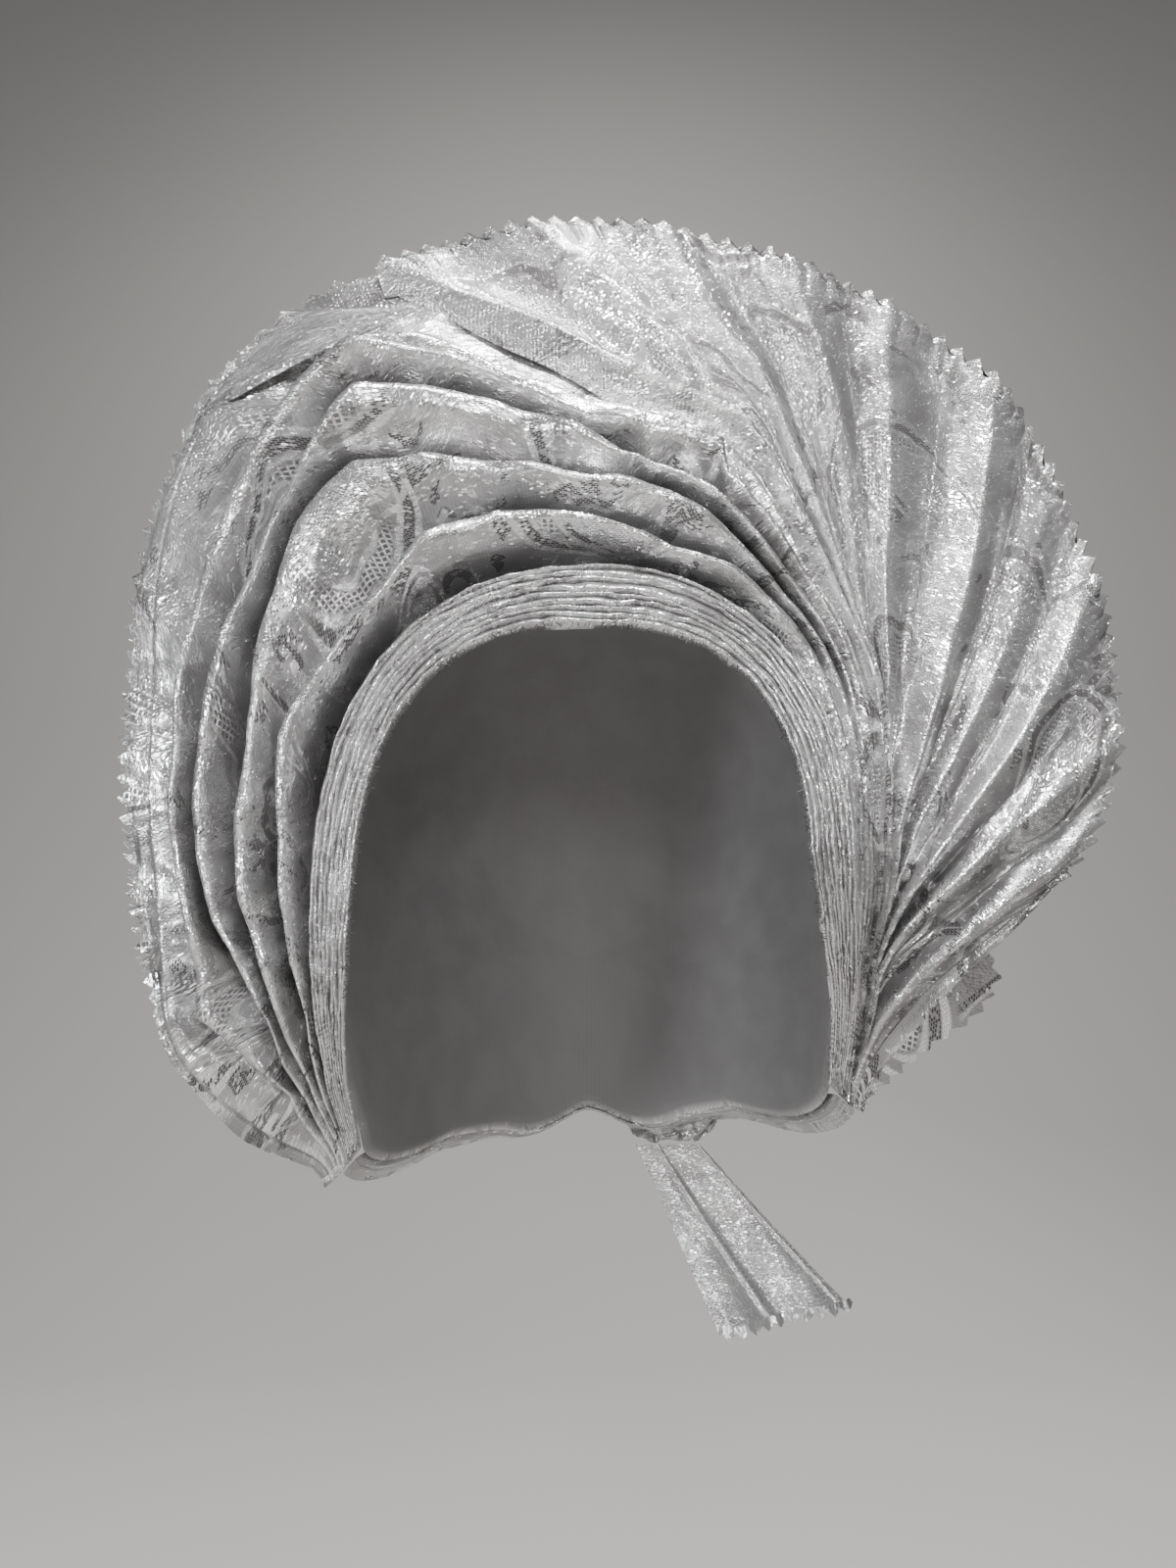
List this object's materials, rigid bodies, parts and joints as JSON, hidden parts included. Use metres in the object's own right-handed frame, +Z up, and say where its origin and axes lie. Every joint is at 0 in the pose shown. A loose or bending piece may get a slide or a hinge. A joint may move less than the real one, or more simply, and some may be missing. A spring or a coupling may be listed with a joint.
{
  "type": "tied gele head tie",
  "caption": "Stiff silver brocade head wrap, pleated over the brow, spread into a fan with a pinked hem and folds round the face, knotted at the nape.",
  "frame": {"origin": "inside of the crown's top, where the top of the head bears", "axes": "-Z down into the head hollow, +Z up to the fan's hem, -Y out of the face opening, +X towards the fan"},
  "size_m": [0.3152, 0.1608, 0.3842],
  "materials": {
    "silver_brocade": "metallic jacquard with foil motifs, satin sheen",
    "pleated_brocade": "the same jacquard in fine pleats, satin sheen"
  },
  "bodies": {
    "root": {"crown_wrap": "pleated_brocade", "brow_band": "pleated_brocade", "swirl_folds": "silver_brocade", "side_fan": "silver_brocade", "fan_underlap": "silver_brocade", "nape_wrap": "pleated_brocade", "nape_knot": "pleated_brocade", "knot_tail": "silver_brocade"}
  },
  "joints": []
}
